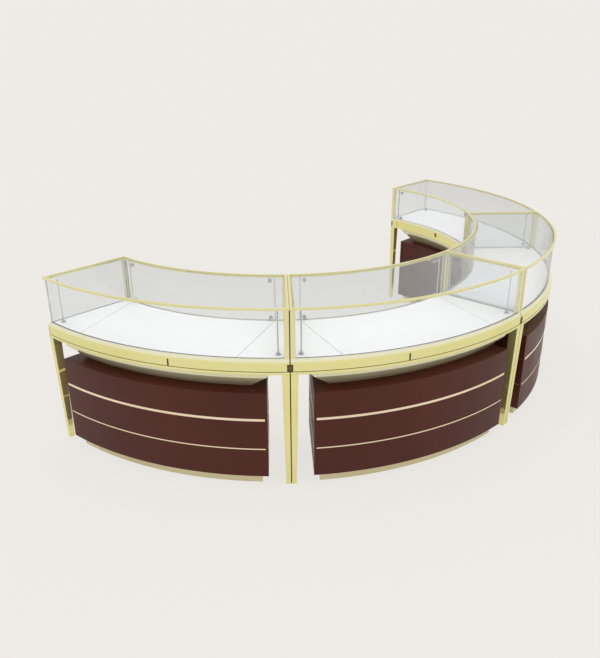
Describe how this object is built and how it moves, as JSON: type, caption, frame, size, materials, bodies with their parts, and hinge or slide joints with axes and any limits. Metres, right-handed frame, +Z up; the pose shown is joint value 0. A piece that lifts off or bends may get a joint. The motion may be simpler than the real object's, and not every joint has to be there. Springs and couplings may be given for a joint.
{
  "type": "jewelry display counter",
  "caption": "Half-ring jewelry counter of curved glass showcases with gold frames on wine-red cabinets, with pull-out display drawers, drawer locks and hinged cabinet doors.",
  "frame": {"origin": "on the floor, under the middle of the half ring's bounding box", "axes": "+Z up, +X along the half ring's width, +Y towards its open side, where the staff come in"},
  "size_m": [3.62, 1.8076, 0.96],
  "materials": {
    "gold": "mirror polished",
    "pale_gold": "polished",
    "glass": "clear",
    "white_board": "satin paint",
    "lacquer": "satin lacquer",
    "steel": "satin",
    "dark_steel": "matt",
    "driver_case": "moulded"
  },
  "bodies": {
    "counter": {"apron_bands": "gold", "apron_frames": "gold", "cabinet_1": "lacquer", "cabinet_2": "lacquer", "cabinet_3": "lacquer", "cabinet_4": "lacquer", "case_floors": "lacquer", "case_posts": "gold", "drawer_runners": "steel", "end_glass": "glass", "fixed_decks": "white_board", "front_glass": "glass", "hinge_pins": "steel", "inlay_strips": "pale_gold", "joint_connectors": "dark_steel", "legs": "gold", "light_drivers": "driver_case", "light_poles": "steel", "lock_keepers": "steel", "necks": "gold", "plinths": "gold", "shelves": "lacquer", "top_glass": "glass", "top_rims": "gold"},
    "drawer_1": {"drawer_1_tray": "white_board", "drawer_1_front": "gold", "drawer_1_pane": "glass", "drawer_1_pane_clamps": "steel"},
    "lock_1": {"drawer_1_lock": "steel"},
    "door_1_left": {"door_1_left": "lacquer", "door_1_left_knob": "pale_gold"},
    "door_1_right": {"door_1_right": "lacquer", "door_1_right_knob": "pale_gold"},
    "drawer_2": {"drawer_2_tray": "white_board", "drawer_2_front": "gold", "drawer_2_pane": "glass", "drawer_2_pane_clamps": "steel"},
    "lock_2": {"drawer_2_lock": "steel"},
    "door_2_left": {"door_2_left": "lacquer", "door_2_left_knob": "pale_gold"},
    "door_2_right": {"door_2_right": "lacquer", "door_2_right_knob": "pale_gold"},
    "drawer_3": {"drawer_3_tray": "white_board", "drawer_3_front": "gold", "drawer_3_pane": "glass", "drawer_3_pane_clamps": "steel"},
    "lock_3": {"drawer_3_lock": "steel"},
    "door_3_left": {"door_3_left": "lacquer", "door_3_left_knob": "pale_gold"},
    "door_3_right": {"door_3_right": "lacquer", "door_3_right_knob": "pale_gold"},
    "drawer_4": {"drawer_4_tray": "white_board", "drawer_4_front": "gold", "drawer_4_pane": "glass", "drawer_4_pane_clamps": "steel"},
    "lock_4": {"drawer_4_lock": "steel"},
    "door_4_left": {"door_4_left": "lacquer", "door_4_left_knob": "pale_gold"},
    "door_4_right": {"door_4_right": "lacquer", "door_4_right_knob": "pale_gold"}
  },
  "joints": [
    {"name": "drawer_1_slide", "type": "slide", "parent": "counter", "child": "drawer_1", "axis": [0.9239, 0.3827, 0], "range_m": [0, 0.15]},
    {"name": "lock_1_turn", "type": "hinge", "parent": "drawer_1", "child": "lock_1", "pos_m": [-1.20377, 0.40763, 0.665], "axis": [0.9239, 0.3827, 0], "range_deg": [0, 90]},
    {"name": "door_1_left_swing", "type": "hinge", "parent": "counter", "child": "door_1_left", "pos_m": [-1.02401, 0.09084, 0.293], "axis": [0, 0, -1], "range_deg": [0, 85]},
    {"name": "door_1_right_swing", "type": "hinge", "parent": "counter", "child": "door_1_right", "pos_m": [-1.30066, 0.75875, 0.293], "axis": [0, 0, 1], "range_deg": [0, 85]},
    {"name": "drawer_2_slide", "type": "slide", "parent": "counter", "child": "drawer_2", "axis": [0.3827, 0.9239, 0], "range_m": [0, 0.15]},
    {"name": "lock_2_turn", "type": "hinge", "parent": "drawer_2", "child": "lock_2", "pos_m": [-0.49862, -0.29752, 0.665], "axis": [0.3827, 0.9239, 0], "range_deg": [0, 90]},
    {"name": "door_2_left_swing", "type": "hinge", "parent": "counter", "child": "door_2_left", "pos_m": [-0.1475, -0.39441, 0.293], "axis": [0, 0, -1], "range_deg": [0, 85]},
    {"name": "door_2_right_swing", "type": "hinge", "parent": "counter", "child": "door_2_right", "pos_m": [-0.81541, -0.11776, 0.293], "axis": [0, 0, 1], "range_deg": [0, 85]},
    {"name": "drawer_3_slide", "type": "slide", "parent": "counter", "child": "drawer_3", "axis": [-0.3827, 0.9239, 0], "range_m": [0, 0.15]},
    {"name": "lock_3_turn", "type": "hinge", "parent": "drawer_3", "child": "lock_3", "pos_m": [0.49862, -0.29752, 0.665], "axis": [-0.3827, 0.9239, 0], "range_deg": [0, 90]},
    {"name": "door_3_left_swing", "type": "hinge", "parent": "counter", "child": "door_3_left", "pos_m": [0.81541, -0.11776, 0.293], "axis": [0, 0, -1], "range_deg": [0, 85]},
    {"name": "door_3_right_swing", "type": "hinge", "parent": "counter", "child": "door_3_right", "pos_m": [0.1475, -0.39441, 0.293], "axis": [0, 0, 1], "range_deg": [0, 85]},
    {"name": "drawer_4_slide", "type": "slide", "parent": "counter", "child": "drawer_4", "axis": [-0.9239, 0.3827, 0], "range_m": [0, 0.15]},
    {"name": "lock_4_turn", "type": "hinge", "parent": "drawer_4", "child": "lock_4", "pos_m": [1.20377, 0.40763, 0.665], "axis": [-0.9239, 0.3827, 0], "range_deg": [0, 90]},
    {"name": "door_4_left_swing", "type": "hinge", "parent": "counter", "child": "door_4_left", "pos_m": [1.30066, 0.75875, 0.293], "axis": [0, 0, -1], "range_deg": [0, 85]},
    {"name": "door_4_right_swing", "type": "hinge", "parent": "counter", "child": "door_4_right", "pos_m": [1.02401, 0.09084, 0.293], "axis": [0, 0, 1], "range_deg": [0, 85]}
  ]
}
